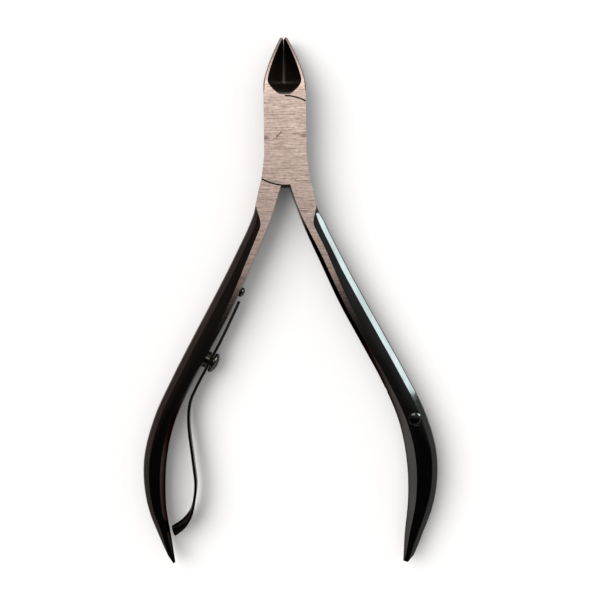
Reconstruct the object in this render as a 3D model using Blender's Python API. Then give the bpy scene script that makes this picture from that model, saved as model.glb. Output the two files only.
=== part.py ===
"""Cuticle nipper: two crossed forged halves, a flush pivot rivet and a riveted leaf spring.

The tool lies on its back face, z = 0. The pivot axis is the Z axis, the jaws point to +Y and
the handles to -Y. Both halves are drawn by the same function, and the back one is then turned
over about the Y direction, with its jaw's hollow on the other side and a slimmer handle.
The dimensions below are in millimetres; meshes are made in metres.
"""
import math

import bmesh
import bpy
from mathutils import Matrix, Vector

MM = 0.001

# Head and lap joint
THICKNESS = 7.0
LAP_GAP = 0.1
HEAD_HALF_WIDTH = 4.2
FLARE_START = -2.0
FLARE_LENGTH = 6.0
FLARE = 0.7
FLARE_POWER = 1.6
UPPER_LAP_RADIUS = 8.5
LOWER_LAP_RADIUS = 9.0
SHOULDER_GAP = 0.3
ARC_STEPS = 96
SIDE_STEPS = 9
CROTCH_TURN = math.radians(5.7)
CROTCH = (1.02, -9.38)

# Jaws
JAW_ROOT = 8.9
JAW_START = 11.0
JAW_TIP = 20.8
JAW_POWER = 1.35
TIP_HALF_WIDTH = 0.72
TIP_FRONT_DROP = 2.6
TIP_BACK_RISE = 0.9
SEAM_HALF_GAP = 0.04
SEAM_ANGLE = math.radians(0.12)
EDGE_RISE = 1.3
EDGE_THICKNESS = 0.25
BACK_BEVEL_WIDTH = 1.8
BACK_BEVEL_SHARE = 0.6
HOLLOW_WIDEST = 12.4
HOLLOW_START_WIDTH = 1.0
HOLLOW_END_POWER = 2.0
HOLLOW_OPENING = 1.5
HOLLOW_RAMP = 2.2
HOLLOW_FALL = 1.8
HOLLOW_FLOOR = 0.8
RIM_WIDTH = 0.7
TIP_RIM_WIDTH = 0.5
HOLLOW_STEPS = 7
JAW_STATIONS = 26

# Handle centre line: x, y, width across, height along Z
HANDLE_LINE = (
    (3.36, -10.1, 4.05, 7.0),
    (5.1, -16.0, 3.6, 7.0),
    (8.75, -24.0, 3.8, 6.9),
    (12.65, -32.0, 4.25, 6.8),
    (16.95, -40.0, 4.3, 6.7),
    (21.15, -48.0, 4.3, 6.6),
    (24.65, -56.0, 4.75, 6.6),
    (26.45, -64.0, 5.2, 6.4),
    (26.3, -72.0, 4.4, 5.6),
    (24.45, -80.0, 2.4, 3.4),
    (23.2, -84.4, 0.5, 1.4),
)
STATIONS_PER_SPAN = 5
FLAT_END = -13.0
FLAT_RUNOUT = 4.5
STRIP_WIDTH = 1.35
STRIP_END_WIDTH = 0.95
STRIP_RUNOUT = 21.0
CROWN_STEPS = 2
BEVEL_STEPS = 1
SIDE_ROUND_STEPS = 5
CROWN_DROP = 0.12
BEVEL_WIDTH = 1.0
BEVEL_SHARE = 0.35
BEVEL_SLOPE = math.tan(math.radians(34.0))
SIDE_BULGE = 0.4
KEEL_START = -36.0
KEEL_LENGTH = 28.0
FRONT_KEEL_SHARE = 0.28
FRONT_UPPER_KEEL = 0.65
UPPER_KEEL_START = -10.1
UPPER_KEEL_LENGTH = 13.0
BACK_KEEL_SHARE = 0.17
KEEL_POWER = 1.25
WALL_STEPS = 4
FRONT_EXTRA = 0.62
FRONT_END_EXTRA = 0.28
FRONT_TIP_EXTRA_WIDTH = 1.2
FRONT_TIP_START = -78.0
FRONT_TIP_LENGTH = 6.4
FRONT_TIP_REACH = 0.6
BACK_RELIEF = 0.7
RELIEF_FULL_WIDTH = 4.0

# Pivot rivet, flush with both faces
PIVOT_RADIUS = 1.75
PIVOT_HEAD_RADIUS = 2.4
PIVOT_HEAD_DEPTH = 0.9
RUNNING_CLEARANCE = 0.05

# Leaf spring, in its rivet's frame: distance down the handle wall, height above the wall
SPRING_RIVET_Y = -43.6
SPRING_PATH = (
    (-13.4, 0.6),
    (-10.0, 0.8),
    (-5.0, 1.0),
    (0.0, 1.0),
    (6.0, 1.0),
    (9.6, 1.45),
    (13.5, 3.3),
    (19.0, 7.1),
    (23.5, 10.1),
    (27.9, 11.5),
    (31.0, 11.3),
    (33.5, 10.1),
)
SPRING_STEPS_PER_SPAN = 5
RIVET_SEAT_HEIGHT = 1.0
SPRING_THICKNESS = 0.55
SPRING_WIDTH = 3.2
SPRING_END_WIDTH = 4.2
SPRING_END_LENGTH = 9.0
SPRING_END_TWIST = math.radians(15.0)
SPRING_HOLE_RADIUS = 1.0
SEAT_GAP = 0.06
RIVET_SHANK_RADIUS = 0.9
RIVET_HEAD_RADIUS = 2.05
RIVET_HEAD_HEIGHT = 1.3
RIVET_DEPTH = 2.2
COLLAR_RADIUS = 1.7
BORE_EXTRA_DEPTH = 0.1

# Stop pin above the spring's tail
PIN_DISTANCE = 15.3
PIN_SHANK_RADIUS = 0.5
PIN_HEAD_RADIUS = 1.0
PIN_HEAD_HEIGHT = 0.9
PIN_DEPTH = 1.8

# Rivet in the front half's handle, and the small hole in its inner wall
HANDLE_RIVET_XY = (25.2, -56.0)
HANDLE_RIVET_SEAT = 5.5
HANDLE_RIVET_HEAD_RADIUS = 1.4
HANDLE_RIVET_HEAD_HEIGHT = 1.4
HANDLE_RIVET_SHANK_RADIUS = 0.8
HANDLE_RIVET_END = 2.1
WALL_HOLE_Y = -50.4
WALL_HOLE_RADIUS = 0.6
WALL_HOLE_DEPTH = 2.0

ROUND_SEGMENTS = 32
DOME_STEPS = 4
CUTTER_MARGIN = 1.0


def clear_scene():
    for old in list(bpy.data.objects):
        bpy.data.objects.remove(old, do_unlink=True)


def smoothstep(value):
    value = min(max(value, 0.0), 1.0)
    return value * value * (3.0 - 2.0 * value)


def curve_point(controls, t):
    """Point of the Catmull-Rom curve through the controls, t counting the controls from 0."""
    last = len(controls) - 1
    span = min(int(t), last - 1)
    f = t - span
    before = controls[max(span - 1, 0)]
    here = controls[span]
    there = controls[span + 1]
    after = controls[min(span + 2, last)]
    point = []
    for p0, p1, p2, p3 in zip(before, here, there, after):
        linear = (p2 - p0) * f
        square = (2.0 * p0 - 5.0 * p1 + 4.0 * p2 - p3) * f * f
        cube = (3.0 * p1 - p0 - 3.0 * p2 + p3) * f ** 3
        point.append(0.5 * (2.0 * p1 + linear + square + cube))
    return point


def curve_direction(controls, t):
    """Unit direction, in the first two coordinates, of the curve at t."""
    step = 0.02
    start = curve_point(controls, max(t - step, 0.0))
    end = curve_point(controls, min(t + step, len(controls) - 1.0))
    return Vector((end[0] - start[0], end[1] - start[1])).normalized()


def head_half_width(y):
    if y > JAW_START:
        along = (y - JAW_START) / (JAW_TIP - JAW_START)
        return HEAD_HALF_WIDTH - (HEAD_HALF_WIDTH - TIP_HALF_WIDTH) * along ** JAW_POWER
    if y < FLARE_START:
        return HEAD_HALF_WIDTH + FLARE * ((FLARE_START - y) / FLARE_LENGTH) ** FLARE_POWER
    return HEAD_HALF_WIDTH


def seam_offset(y):
    return SEAM_HALF_GAP + y * math.tan(SEAM_ANGLE)


def jaw_ring(y, front_up):
    """Closed section of the left jaw at height y: back face, cutting edge, hollow, rim."""
    along = (y - JAW_ROOT) / (JAW_TIP - JAW_ROOT)
    width = head_half_width(y)
    seam = seam_offset(y)
    front = THICKNESS - TIP_FRONT_DROP * along ** 2
    back = TIP_BACK_RISE * along ** 2
    opening = smoothstep((y - JAW_ROOT) / HOLLOW_OPENING)
    edge = back + EDGE_RISE * opening
    bevel = min(BACK_BEVEL_WIDTH, BACK_BEVEL_SHARE * width)
    rim = RIM_WIDTH + (TIP_RIM_WIDTH - RIM_WIDTH) * along
    below = max((HOLLOW_WIDEST - y) / (HOLLOW_WIDEST - JAW_ROOT), 0.0)
    roundness = 1.0 - min(below, 1.0) ** HOLLOW_END_POWER
    reach = HOLLOW_START_WIDTH + (width - rim - seam - HOLLOW_START_WIDTH) * roundness
    depth = (front - edge - EDGE_THICKNESS) * roundness ** HOLLOW_RAMP
    ring = [(-width, back), (-bevel, back), (-seam, edge)]
    for i in range(HOLLOW_STEPS + 1):
        across = i / HOLLOW_STEPS
        drop = depth * (1.0 - across ** HOLLOW_FALL) ** HOLLOW_FLOOR
        ring.append((-seam - reach * across, front - drop))
    ring.append((-width, front))
    if front_up:
        return [Vector((x, y, z)) for x, z in ring]
    return [Vector((x, y, THICKNESS - z)) for x, z in ring]


def wall_relief(y):
    """How far the back half's inner wall is set back from the wall line of the front half's."""
    return BACK_RELIEF * smoothstep((KEEL_START - y) / KEEL_LENGTH)


def outer_profile(width, half):
    """Half of the handle's outer side, from the strip down to mid-thickness: crown, bevel, round."""
    bevel = min(BEVEL_WIDTH, BEVEL_SHARE * width)
    bulge = min(SIDE_BULGE, BEVEL_SHARE * width)
    crown = max(width - bevel - bulge, 0.0)
    points = []
    for i in range(CROWN_STEPS):
        along = i / CROWN_STEPS
        points.append((crown * along, half - CROWN_DROP * along * along))
    edge = half - CROWN_DROP
    low = edge - bevel * BEVEL_SLOPE
    for i in range(BEVEL_STEPS):
        along = i / BEVEL_STEPS
        points.append((crown + bevel * along, edge + (low - edge) * along))
    for i in range(SIDE_ROUND_STEPS + 1):
        turn = math.pi / 2.0 * i / SIDE_ROUND_STEPS
        points.append((crown + bevel + bulge * math.sin(turn), low * math.cos(turn)))
    return points


def handle_ring(t, front):
    """Closed section of the right handle: inner wall, flat strip, rounded outer side.

    The inner wall is flat near the joint and grows a low keel at mid-thickness lower down.
    """
    x, y, width, height = curve_point(HANDLE_LINE, t)
    along = curve_direction(HANDLE_LINE, t)
    outward = Vector((-along.y, along.x))
    runout = smoothstep((FLAT_END - y) / FLAT_RUNOUT)
    taper = smoothstep((FLAT_END - y) / STRIP_RUNOUT)
    strip = STRIP_WIDTH + (STRIP_END_WIDTH - STRIP_WIDTH) * taper
    flat = width + (strip - width) * runout
    lower = smoothstep((KEEL_START - y) / KEEL_LENGTH)
    if front:
        change = (FRONT_EXTRA * runout + FRONT_END_EXTRA * lower) * min(width / FRONT_TIP_EXTRA_WIDTH, 1.0)
        upper = FRONT_UPPER_KEEL * smoothstep((UPPER_KEEL_START - y) / UPPER_KEEL_LENGTH)
        keel = upper + (FRONT_KEEL_SHARE * width - upper) * lower
        y -= FRONT_TIP_REACH * smoothstep((FRONT_TIP_START - y) / FRONT_TIP_LENGTH)
    else:
        change = -wall_relief(y) * min(width / RELIEF_FULL_WIDTH, 1.0)
        keel = BACK_KEEL_SHARE * width * lower
    width += change
    x += outward.x * abs(change) / 2.0
    y += outward.y * abs(change) / 2.0
    half = min(height, THICKNESS) / 2.0
    middle = THICKNESS / 2.0
    start = keel - width / 2.0
    flat = min(flat, width - keel)
    ring = []
    for i in range(WALL_STEPS + 1):
        rise = 2.0 * i / WALL_STEPS - 1.0
        ring.append((keel * abs(rise) ** KEEL_POWER - width / 2.0, half * rise))
    upper = outer_profile(width - keel - flat, half)
    lower_part = [(across, -up) for across, up in reversed(upper[:-1])]
    ring.extend((start + flat + across, up) for across, up in upper + lower_part)
    return [Vector((x + outward.x * u, y + outward.y * u, middle + z)) for u, z in ring]


def arc(radius, start, end):
    """Points of an arc about the pivot from one angle to another, in radians."""
    count = max(2, round(abs(end - start) / (2.0 * math.pi) * ARC_STEPS))
    angles = [start + (end - start) * i / count for i in range(count + 1)]
    return [Vector((radius * math.cos(a), radius * math.sin(a))) for a in angles]


def outline_corner(radius, sign):
    """Angle at which a circle about the pivot meets the head's right side."""
    y = sign * radius
    for _ in range(40):
        width = head_half_width(y)
        y = sign * math.sqrt(radius * radius - width * width)
    return math.atan2(y, head_half_width(y))


def side_points(start, end):
    """Points down the head's right side."""
    heights = [start + (end - start) * i / SIDE_STEPS for i in range(SIDE_STEPS + 1)]
    return [Vector((head_half_width(y), y)) for y in heights]


def fill_walls(bm, upper, lower):
    for i in range(len(upper) - 1):
        bm.faces.new((upper[i], upper[i + 1], lower[i + 1], lower[i]))


def bridge(bm, first, second):
    for i in range(len(first)):
        j = (i + 1) % len(first)
        bm.faces.new((first[i], first[j], second[j], second[i]))


def loft(bm, rings):
    """Skin a list of rings of points and return the first ring's vertices."""
    made = [[bm.verts.new(p) for p in ring] for ring in rings]
    for i in range(len(made) - 1):
        bridge(bm, made[i], made[i + 1])
    bm.faces.new(made[-1])
    return made[0]


def jaw_heights():
    """Heights of the jaw's sections, closer together at the hollow's round lower end."""
    spread = [1.0 - math.cos(math.pi / 2.0 * i / JAW_STATIONS) for i in range(JAW_STATIONS + 1)]
    return [JAW_ROOT + (JAW_TIP - JAW_ROOT) * s for s in spread]


def half_mesh(front):
    """Left jaw, lap plate and right handle as one closed body of full thickness.

    The back half is drawn face down, so its jaw's hollow opens to the other side.
    """
    bm = bmesh.new()
    jaw = loft(bm, [jaw_ring(y, front) for y in jaw_heights()])
    last = (len(HANDLE_LINE) - 1) * STATIONS_PER_SPAN
    handle = loft(bm, [handle_ring(i / STATIONS_PER_SPAN, front) for i in range(last + 1)])

    low = outline_corner(LOWER_LAP_RADIUS, -1.0)
    high = outline_corner(UPPER_LAP_RADIUS, 1.0)
    low_y = LOWER_LAP_RADIUS * math.sin(low)
    high_y = UPPER_LAP_RADIUS * math.sin(high)
    left = [Vector((-p.x, p.y)) for p in side_points(JAW_ROOT, low_y)][1:]
    lower_arc = arc(LOWER_LAP_RADIUS, -math.pi - low, CROTCH_TURN - math.pi / 2.0)[1:]
    inner = left + lower_arc + [Vector(CROTCH)]
    right = list(reversed(side_points(high_y, -9.0)))
    seam_angle = math.pi / 2.0 + seam_offset(UPPER_LAP_RADIUS) / UPPER_LAP_RADIUS
    outer = right + arc(UPPER_LAP_RADIUS, high, seam_angle)[1:]

    inner_top = [bm.verts.new((p.x, p.y, THICKNESS)) for p in inner]
    inner_low = [bm.verts.new((p.x, p.y, 0.0)) for p in inner]
    outer_top = [bm.verts.new((p.x, p.y, THICKNESS)) for p in outer]
    outer_low = [bm.verts.new((p.x, p.y, 0.0)) for p in outer]
    jaw_back = list(reversed(jaw[:3]))
    jaw_top, jaw_low = (jaw[3:], jaw_back) if front else (jaw_back, jaw[3:])
    wall = handle[:WALL_STEPS + 1]
    round_side = handle[WALL_STEPS + 1:]

    bm.faces.new((jaw_top[-1], inner_top[0], inner_low[0], jaw_low[-1]))
    fill_walls(bm, inner_top, inner_low)
    bm.faces.new([inner_low[-1]] + wall + [inner_top[-1]])
    fill_walls(bm, outer_top + [jaw_top[0]], outer_low + [jaw_low[0]])
    bm.faces.new(round_side + [outer_low[0], outer_top[0]])
    bm.faces.new(jaw_top + inner_top + [wall[-1], round_side[0]] + outer_top)
    bm.faces.new(jaw_low + inner_low + [wall[0], round_side[-1]] + outer_low)
    bmesh.ops.recalc_face_normals(bm, faces=bm.faces)
    return finish_mesh(bm, "half")


def finish_mesh(bm, name):
    """Turn a bmesh drawn in millimetres into a mesh in metres."""
    bmesh.ops.scale(bm, vec=(MM, MM, MM), verts=bm.verts)
    mesh = bpy.data.meshes.new(name)
    bm.to_mesh(mesh)
    bm.free()
    return mesh


def shade_round(mesh):
    mesh.shade_smooth()
    mesh.set_sharp_from_angle(angle=math.radians(35.0))


def make_material(name, color, metallic, roughness):
    material = bpy.data.materials.new(name)
    material.use_nodes = True
    shader = material.node_tree.nodes["Principled BSDF"]
    shader.inputs["Base Color"].default_value = (*color, 1.0)
    shader.inputs["Metallic"].default_value = metallic
    shader.inputs["Roughness"].default_value = roughness
    return material


def add_object(name, mesh, material=None):
    made = bpy.data.objects.new(name, mesh)
    if material:
        mesh.materials.append(material)
    bpy.context.scene.collection.objects.link(made)
    return made


def turned_mesh(name, profile):
    """Turn a profile of (radius, height) points about the Z axis."""
    bm = bmesh.new()
    verts = [bm.verts.new((r, 0.0, z)) for r, z in profile]
    edges = [bm.edges.new(pair) for pair in zip(verts, verts[1:])]
    bmesh.ops.spin(bm, geom=verts + edges, axis=(0.0, 0.0, 1.0), cent=(0.0, 0.0, 0.0),
                   angle=2.0 * math.pi, steps=ROUND_SEGMENTS)
    bmesh.ops.remove_doubles(bm, verts=bm.verts, dist=0.0001)
    bmesh.ops.recalc_face_normals(bm, faces=bm.faces)
    mesh = finish_mesh(bm, name)
    shade_round(mesh)
    return mesh


def dome(radius, base, height):
    """Profile of a low domed head with a short straight rim."""
    rim = base + height * 0.3
    points = [(radius, base)]
    for i in range(DOME_STEPS + 1):
        turn = math.pi / 2.0 * i / DOME_STEPS
        points.append((radius * math.cos(turn), rim + (height - height * 0.3) * math.sin(turn)))
    points[-1] = (0.0, base + height)
    return points


def rivet_profile(shank, bottom, seat, head_radius, head_height):
    return [(0.0, bottom), (shank, bottom), (shank, seat)] + dome(head_radius, seat, head_height)


def cylinder_profile(radius, bottom, top):
    return [(0.0, bottom), (radius, bottom), (radius, top), (0.0, top)]


def add_cutter(name, mesh, matrix):
    cutter = add_object(name, mesh)
    cutter.matrix_world = matrix
    cutter.hide_render = True
    cutter.display_type = "WIRE"
    return cutter


def cut(target, cutter):
    modifier = target.modifiers.new(cutter.name, "BOOLEAN")
    modifier.operation = "DIFFERENCE"
    modifier.object = cutter


def turned_over():
    """Matrix that turns a piece of the front half into the back half's place."""
    return Matrix.Translation((0.0, 0.0, THICKNESS * MM)) @ Matrix.Rotation(math.pi, 4, "Y")


def wall_frame(y, side):
    """Matrix on a handle's inner wall: Z out of the wall, X down the handle."""
    low = 0.0
    high = len(HANDLE_LINE) - 1.0
    for _ in range(40):
        t = (low + high) / 2.0
        if wall_point(t).y > y:
            low = t
        else:
            high = t
    point = wall_point(t)
    down = curve_direction(HANDLE_LINE, t)
    x_axis = Vector((side * down.x, down.y, 0.0))
    z_axis = Vector((side * down.y, -down.x, 0.0))
    y_axis = z_axis.cross(x_axis)
    frame = Matrix((x_axis, y_axis, z_axis)).transposed().to_4x4()
    frame.translation = Vector((side * point.x, point.y, THICKNESS / 2.0)) * MM
    return frame


def wall_point(t):
    x, y, width, _ = curve_point(HANDLE_LINE, t)
    down = curve_direction(HANDLE_LINE, t)
    return Vector((x + down.y * width / 2.0, y - down.x * width / 2.0))


def lap_cutter_mesh():
    """Room for the other half's lap plate, under this half's own plate."""
    bm = bmesh.new()
    ring = []
    for i in range(ARC_STEPS):
        turn = 2.0 * math.pi * i / ARC_STEPS
        radius = UPPER_LAP_RADIUS if i < ARC_STEPS // 2 else LOWER_LAP_RADIUS
        radius += SHOULDER_GAP
        ring.append(bm.verts.new((radius * math.cos(turn), radius * math.sin(turn), -CUTTER_MARGIN)))
    face = bm.faces.new(ring)
    made = bmesh.ops.extrude_face_region(bm, geom=[face])["geom"]
    rise = CUTTER_MARGIN + THICKNESS / 2.0 + LAP_GAP / 2.0
    moved = [v for v in made if isinstance(v, bmesh.types.BMVert)]
    bmesh.ops.translate(bm, vec=(0.0, 0.0, rise), verts=moved)
    bmesh.ops.recalc_face_normals(bm, faces=bm.faces)
    return finish_mesh(bm, "lap_room")


def pivot_profile(extra, overrun):
    """Shank with a flared, flush end at each face, grown by extra and run past the faces."""
    shank = PIVOT_RADIUS + extra
    head = PIVOT_HEAD_RADIUS + extra
    low = [(0.0, -overrun), (head, -overrun)] if overrun else [(0.0, 0.0)]
    high = [(head, THICKNESS + overrun), (0.0, THICKNESS + overrun)] if overrun else [(0.0, THICKNESS)]
    middle = [(head, 0.0), (shank, PIVOT_HEAD_DEPTH), (shank, THICKNESS - PIVOT_HEAD_DEPTH),
              (head, THICKNESS)]
    return low + middle + high


def spring_ring(t):
    distance, height = curve_point(SPRING_PATH, t)
    along = curve_direction(SPRING_PATH, t)
    end = SPRING_PATH[-1][0]
    widening = smoothstep((distance - end + SPRING_END_LENGTH) / SPRING_END_LENGTH)
    half_width = (SPRING_WIDTH + (SPRING_END_WIDTH - SPRING_WIDTH) * widening) / 2.0
    normal = Vector((-along.y, along.x))
    half = SPRING_THICKNESS / 2.0
    twist = SPRING_END_TWIST * widening
    corners = []
    for across, lift in ((-half_width, -half), (-half_width, half), (half_width, half), (half_width, -half)):
        rise = lift * math.cos(twist) - across * math.sin(twist)
        side = across * math.cos(twist) + lift * math.sin(twist)
        corners.append(Vector((distance + normal.x * rise, side, height + normal.y * rise)))
    return corners


def spring_mesh():
    bm = bmesh.new()
    last = (len(SPRING_PATH) - 1) * SPRING_STEPS_PER_SPAN
    first = loft(bm, [spring_ring(i / SPRING_STEPS_PER_SPAN) for i in range(last + 1)])
    bm.faces.new(first)
    bmesh.ops.recalc_face_normals(bm, faces=bm.faces)
    return finish_mesh(bm, "leaf_spring")


def add_halves(steel):
    lap_mesh = lap_cutter_mesh()
    bore_mesh = turned_mesh("pivot_bore", pivot_profile(RUNNING_CLEARANCE, CUTTER_MARGIN))
    front = add_object("front_half", half_mesh(True), steel)
    back = add_object("back_half", half_mesh(False), steel)
    back.matrix_world = turned_over()
    bore = add_cutter("pivot_bore", bore_mesh, Matrix())
    cut(front, add_cutter("front_lap_room", lap_mesh, Matrix()))
    cut(back, add_cutter("back_lap_room", lap_mesh, turned_over()))
    cut(front, bore)
    cut(back, bore)
    return front, back


def add_pivot_rivet(steel):
    add_object("pivot_rivet", turned_mesh("pivot_rivet", pivot_profile(0.0, 0.0)), steel)


def bore_wall(target, name, frame, radius, depth):
    profile = cylinder_profile(radius, -depth, CUTTER_MARGIN)
    cut(target, add_cutter(name, turned_mesh(name, profile), frame))


def add_spring(back, polished):
    """Leaf spring, its rivet and the collar under it, on the back half's handle."""
    frame = wall_frame(SPRING_RIVET_Y, -1.0)
    spring = add_object("leaf_spring", spring_mesh(), polished)
    spring.matrix_world = frame
    hole = cylinder_profile(SPRING_HOLE_RADIUS, -CUTTER_MARGIN, 2.0 * CUTTER_MARGIN)
    cut(spring, add_cutter("spring_hole", turned_mesh("spring_hole", hole), frame))

    top_of_strip = RIVET_SEAT_HEIGHT + SPRING_THICKNESS / 2.0
    profile = rivet_profile(RIVET_SHANK_RADIUS, -RIVET_DEPTH, top_of_strip + SEAT_GAP,
                            RIVET_HEAD_RADIUS, RIVET_HEAD_HEIGHT)
    add_object("spring_rivet", turned_mesh("spring_rivet", profile), polished).matrix_world = frame
    bore_wall(back, "spring_rivet_bore", frame, RIVET_SHANK_RADIUS + RUNNING_CLEARANCE,
              RIVET_DEPTH + BORE_EXTRA_DEPTH)

    inside = RIVET_SHANK_RADIUS + RUNNING_CLEARANCE
    top = RIVET_SEAT_HEIGHT - SPRING_THICKNESS / 2.0 - SEAT_GAP
    low = SEAT_GAP - wall_relief(SPRING_RIVET_Y)
    ring = [(inside, low), (COLLAR_RADIUS, low), (COLLAR_RADIUS, top), (inside, top), (inside, low)]
    add_object("spring_collar", turned_mesh("spring_collar", ring), polished).matrix_world = frame


def add_stop_pin(back, polished):
    """Small domed pin in the wall just past the end of the spring's tail."""
    rivet = wall_frame(SPRING_RIVET_Y, -1.0)
    goal = rivet @ Vector((-PIN_DISTANCE * MM, 0.0, 0.0))
    frame = wall_frame(goal.y / MM, -1.0)
    seat = SEAT_GAP - wall_relief(goal.y / MM)
    profile = rivet_profile(PIN_SHANK_RADIUS, -PIN_DEPTH, seat, PIN_HEAD_RADIUS, PIN_HEAD_HEIGHT)
    add_object("spring_stop_pin", turned_mesh("spring_stop_pin", profile), polished).matrix_world = frame
    bore_wall(back, "stop_pin_bore", frame, PIN_SHANK_RADIUS + RUNNING_CLEARANCE,
              PIN_DEPTH + BORE_EXTRA_DEPTH)


def add_handle_rivet(front, polished):
    """Domed rivet sunk in the rounded front of the front half's handle."""
    place = Matrix.Translation((HANDLE_RIVET_XY[0] * MM, HANDLE_RIVET_XY[1] * MM, 0.0))
    profile = rivet_profile(HANDLE_RIVET_SHANK_RADIUS, HANDLE_RIVET_END, HANDLE_RIVET_SEAT + SEAT_GAP,
                            HANDLE_RIVET_HEAD_RADIUS, HANDLE_RIVET_HEAD_HEIGHT)
    rivet = add_object("handle_rivet", turned_mesh("handle_rivet", profile), polished)
    rivet.matrix_world = place
    shank = HANDLE_RIVET_SHANK_RADIUS + RUNNING_CLEARANCE
    head = HANDLE_RIVET_HEAD_RADIUS + RUNNING_CLEARANCE
    top = THICKNESS + CUTTER_MARGIN
    room = [(0.0, HANDLE_RIVET_END - BORE_EXTRA_DEPTH), (shank, HANDLE_RIVET_END - BORE_EXTRA_DEPTH),
            (shank, HANDLE_RIVET_SEAT), (head, HANDLE_RIVET_SEAT), (head, top), (0.0, top)]
    cut(front, add_cutter("handle_rivet_room", turned_mesh("handle_rivet_room", room), place))
    bore_wall(front, "wall_hole", wall_frame(WALL_HOLE_Y, 1.0), WALL_HOLE_RADIUS, WALL_HOLE_DEPTH)


def build():
    clear_scene()
    steel = make_material("satin_steel", (0.52, 0.45, 0.42), 1.0, 0.38)
    polished = make_material("polished_steel", (0.06, 0.06, 0.065), 1.0, 0.12)
    front, back = add_halves(steel)
    add_pivot_rivet(steel)
    add_spring(back, polished)
    add_stop_pin(back, polished)
    add_handle_rivet(front, polished)


build()
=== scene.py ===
"""Cuticle nipper: fine meshes, materials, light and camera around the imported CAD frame.

Lengths are in millimetres until a mesh is finished, which scales it to metres.
"""

import math

import bmesh
import bpy
from mathutils import Matrix, Vector


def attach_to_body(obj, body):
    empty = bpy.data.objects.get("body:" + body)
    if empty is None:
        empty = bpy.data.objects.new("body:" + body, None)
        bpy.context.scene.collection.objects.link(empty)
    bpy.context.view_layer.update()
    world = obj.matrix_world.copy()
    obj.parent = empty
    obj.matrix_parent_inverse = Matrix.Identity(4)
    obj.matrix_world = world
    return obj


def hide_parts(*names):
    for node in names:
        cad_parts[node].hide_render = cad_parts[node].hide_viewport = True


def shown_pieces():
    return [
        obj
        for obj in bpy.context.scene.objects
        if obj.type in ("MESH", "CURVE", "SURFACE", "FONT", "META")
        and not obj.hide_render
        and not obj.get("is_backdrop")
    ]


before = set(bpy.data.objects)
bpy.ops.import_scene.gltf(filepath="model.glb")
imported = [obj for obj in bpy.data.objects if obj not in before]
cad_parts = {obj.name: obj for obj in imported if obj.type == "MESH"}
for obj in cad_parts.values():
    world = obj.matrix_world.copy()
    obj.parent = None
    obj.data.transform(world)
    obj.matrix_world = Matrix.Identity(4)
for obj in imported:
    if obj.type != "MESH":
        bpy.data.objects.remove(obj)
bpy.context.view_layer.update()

MM = 0.001

# How curves and corners are found
CURVE_STEP = 0.02
SEARCH_STEPS = 40

# Head and lap joint, as in the CAD part
THICKNESS = 7.0
LAP_GAP = 0.1
HEAD_HALF_WIDTH = 4.2
FLARE_START = -2.0
FLARE_LENGTH = 6.0
FLARE = 0.7
FLARE_POWER = 1.6
UPPER_LAP_RADIUS = 8.5
LOWER_LAP_RADIUS = 9.0
SHOULDER_GAP = 0.3
ARC_STEPS = 360
SIDE_STEPS = 40
RIGHT_SIDE_END = -9.0
CROTCH_TURN = math.radians(5.7)
CROTCH = (1.02, -9.38)

# Jaws
JAW_ROOT = 8.9
JAW_START = 11.0
JAW_TIP = 20.8
JAW_POWER = 1.35
TIP_HALF_WIDTH = 0.72
TIP_FRONT_DROP = 2.6
TIP_BACK_RISE = 0.9
SEAM_HALF_GAP = 0.008
SEAM_ANGLE = math.radians(0.03)
EDGE_RISE = 1.3
EDGE_THICKNESS = 0.25
BACK_BEVEL_WIDTH = 1.8
BACK_BEVEL_SHARE = 0.6
HOLLOW_WIDEST = 12.4
HOLLOW_START_WIDTH = 1.0
HOLLOW_END_POWER = 2.0
HOLLOW_OPENING = 1.5
HOLLOW_RAMP = 2.2
HOLLOW_FALL = 1.8
HOLLOW_FLOOR = 0.8
RIM_WIDTH = 0.7
TIP_RIM_WIDTH = 0.5
HOLLOW_STEPS = 24
JAW_STATIONS = 80
CHAMFER = 0.2
CHAMFER_SLOPE = 1.6

# Handle centre line: x, y, width across, height along Z
HANDLE_LINE = (
    (3.36, -10.1, 4.05, 7.0),
    (5.1, -16.0, 3.6, 7.0),
    (8.75, -24.0, 3.8, 6.9),
    (12.65, -32.0, 4.25, 6.8),
    (16.95, -40.0, 4.3, 6.7),
    (21.15, -48.0, 4.3, 6.6),
    (24.65, -56.0, 4.75, 6.6),
    (26.45, -64.0, 5.2, 6.4),
    (26.3, -72.0, 4.4, 5.6),
    (24.45, -80.0, 2.4, 3.4),
    (23.2, -84.4, 0.5, 1.4),
)
STATIONS_PER_SPAN = 18
FLAT_END = -13.0
FLAT_RUNOUT = 4.5
STRIP_WIDTH = 1.35
STRIP_END_WIDTH = 0.95
STRIP_RUNOUT = 21.0
CROWN_STEPS = 8
BEVEL_STEPS = 3
SIDE_ROUND_STEPS = 14
CROWN_DROP = 0.12
BEVEL_WIDTH = 1.0
BEVEL_SHARE = 0.35
BEVEL_SLOPE = math.tan(math.radians(34.0))
SIDE_BULGE = 0.4
KEEL_START = -36.0
KEEL_LENGTH = 28.0
FRONT_KEEL_SHARE = 0.28
FRONT_UPPER_KEEL = 0.65
UPPER_KEEL_START = -10.1
UPPER_KEEL_LENGTH = 13.0
BACK_KEEL_SHARE = 0.17
KEEL_POWER = 1.25
WALL_STEPS = 16
FRONT_EXTRA = 0.62
FRONT_END_EXTRA = 0.28
FRONT_TIP_EXTRA_WIDTH = 1.2
FRONT_TIP_START = -78.0
FRONT_TIP_LENGTH = 6.4
FRONT_TIP_REACH = 0.6
BACK_RELIEF = 0.7
RELIEF_FULL_WIDTH = 4.0

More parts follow.
